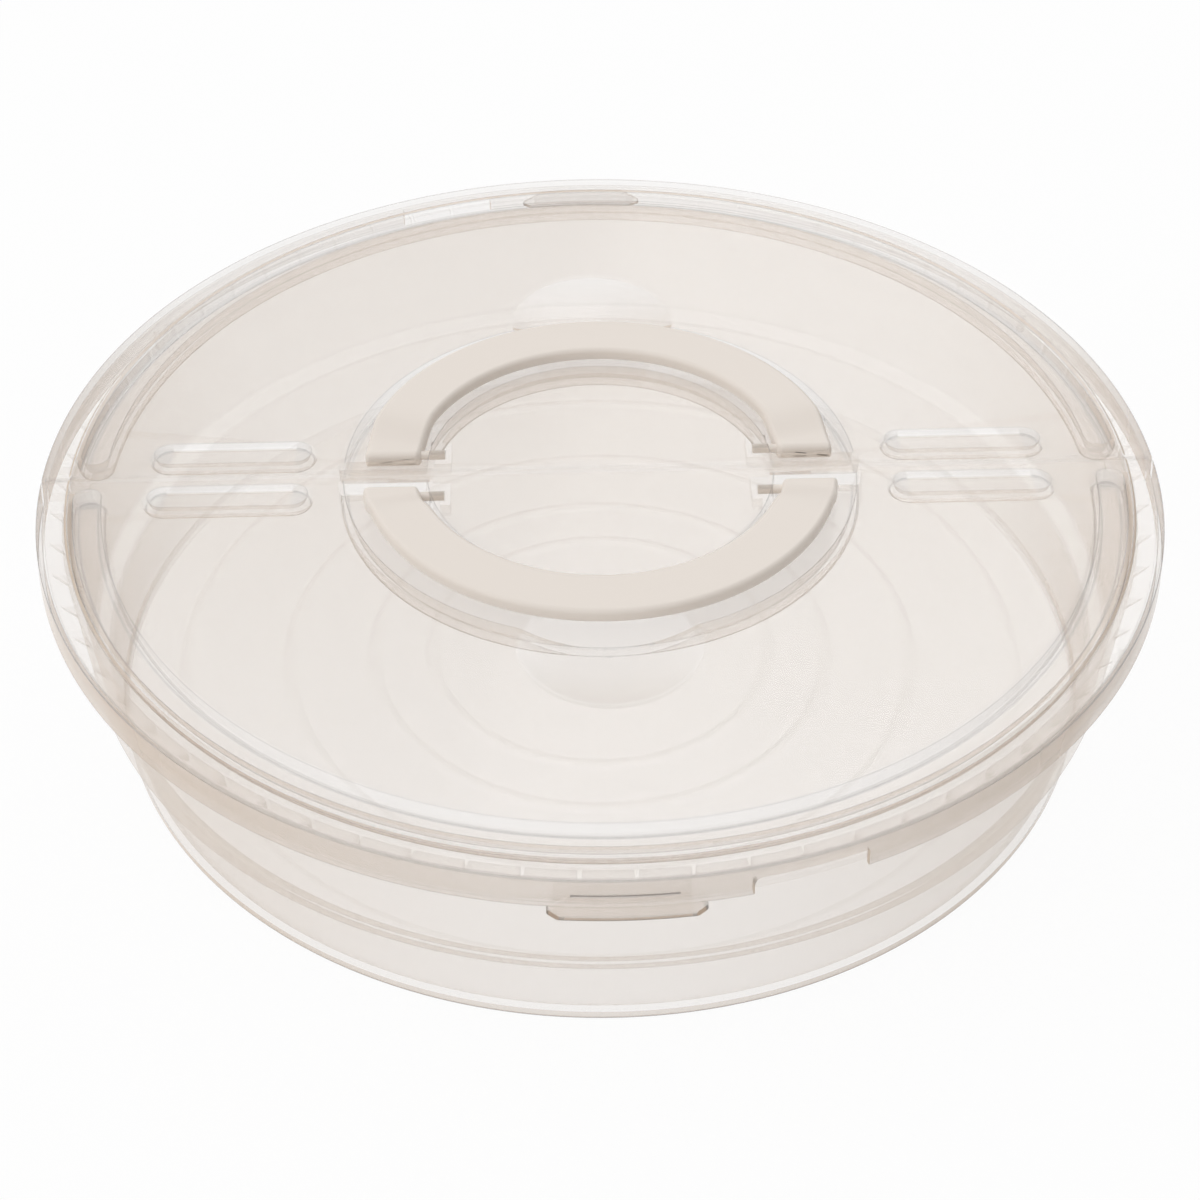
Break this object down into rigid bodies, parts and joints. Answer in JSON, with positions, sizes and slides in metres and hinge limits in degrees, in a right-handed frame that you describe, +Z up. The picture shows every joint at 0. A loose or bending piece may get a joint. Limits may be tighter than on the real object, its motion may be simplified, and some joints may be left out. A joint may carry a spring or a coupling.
{
  "type": "round cake keeper",
  "caption": "Shallow round translucent cake keeper with a press-on lid that folds along a film hinge and half-ring carrying handles that swing up out of a channel in the lid",
  "frame": {"origin": "middle of the underside, on the surface that the keeper stands on", "axes": "+Z up, the lid's film hinge along X, the front leaf of the lid towards -Y"},
  "size_m": [0.3412, 0.346, 0.0809],
  "materials": {
    "clear_plastic": "translucent, lightly frosted, warm white",
    "handle_plastic": "opaque cream with a soft sheen"
  },
  "bodies": {
    "bowl": {"base_bowl": "clear_plastic"},
    "hinge_strip": {"film_hinge": "clear_plastic"},
    "front_leaf": {"lid_front_leaf": "clear_plastic"},
    "rear_leaf": {"lid_rear_leaf": "clear_plastic"},
    "front_grip": {"front_handle": "handle_plastic"},
    "rear_grip": {"rear_handle": "handle_plastic"}
  },
  "joints": [
    {"name": "lid_lift", "type": "slide", "parent": "bowl", "child": "hinge_strip", "axis": [0, 0, 1], "range_m": [0, 0.12]},
    {"name": "front_fold", "type": "hinge", "parent": "hinge_strip", "child": "front_leaf", "pos_m": [0, 0, 0.0765], "axis": [1, 0, 0], "range_deg": [-75, 0]},
    {"name": "rear_fold", "type": "hinge", "parent": "hinge_strip", "child": "rear_leaf", "pos_m": [0, 0, 0.0765], "axis": [-1, 0, 0], "range_deg": [-75, 0]},
    {"name": "front_handle_swing", "type": "hinge", "parent": "front_leaf", "child": "front_grip", "pos_m": [0, -0.0102, 0.0742], "axis": [-1, 0, 0], "range_deg": [0, 90]},
    {"name": "rear_handle_swing", "type": "hinge", "parent": "rear_leaf", "child": "rear_grip", "pos_m": [0, 0.0102, 0.0742], "axis": [1, 0, 0], "range_deg": [0, 90]}
  ]
}
